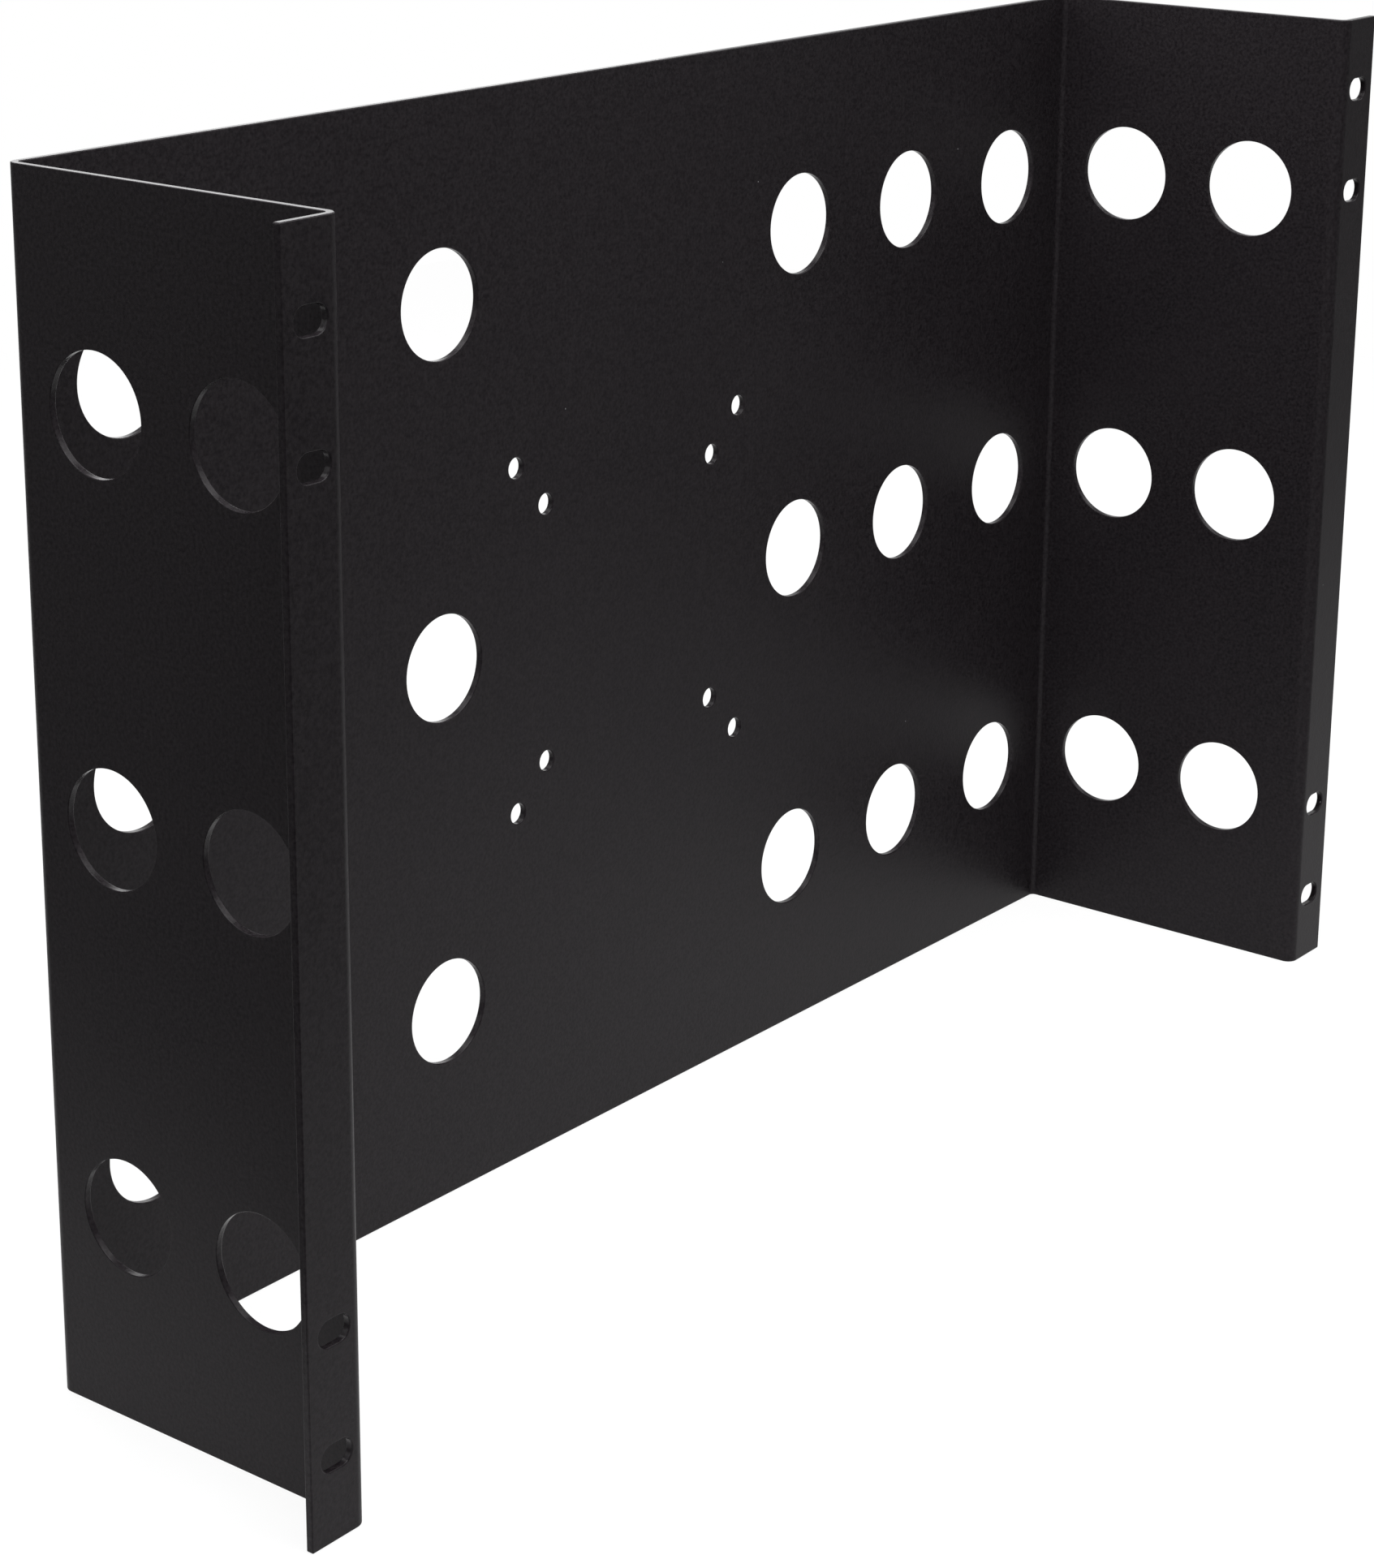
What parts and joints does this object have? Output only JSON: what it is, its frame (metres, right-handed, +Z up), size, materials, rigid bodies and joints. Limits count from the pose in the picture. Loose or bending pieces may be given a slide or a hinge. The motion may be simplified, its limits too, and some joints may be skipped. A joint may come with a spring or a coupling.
{
  "type": "rack monitor mounting bracket",
  "caption": "Folded sheet steel bracket that sets a flat monitor back between rack rails, with slotted flanges, a panel with monitor screw patterns and round vents in panel and walls.",
  "frame": {"origin": "on the floor plane, under the middle of the bracket's bounding box", "axes": "+Z up along the rack's height, +X across the rack, -Y towards the front, where the flanges meet the rails"},
  "size_m": [0.4826, 0.1036, 0.3104],
  "materials": {
    "powder_coat": "black powder coat with a fine satin grain"
  },
  "bodies": {
    "root": {"mounting_bracket": "powder_coat"}
  },
  "joints": []
}
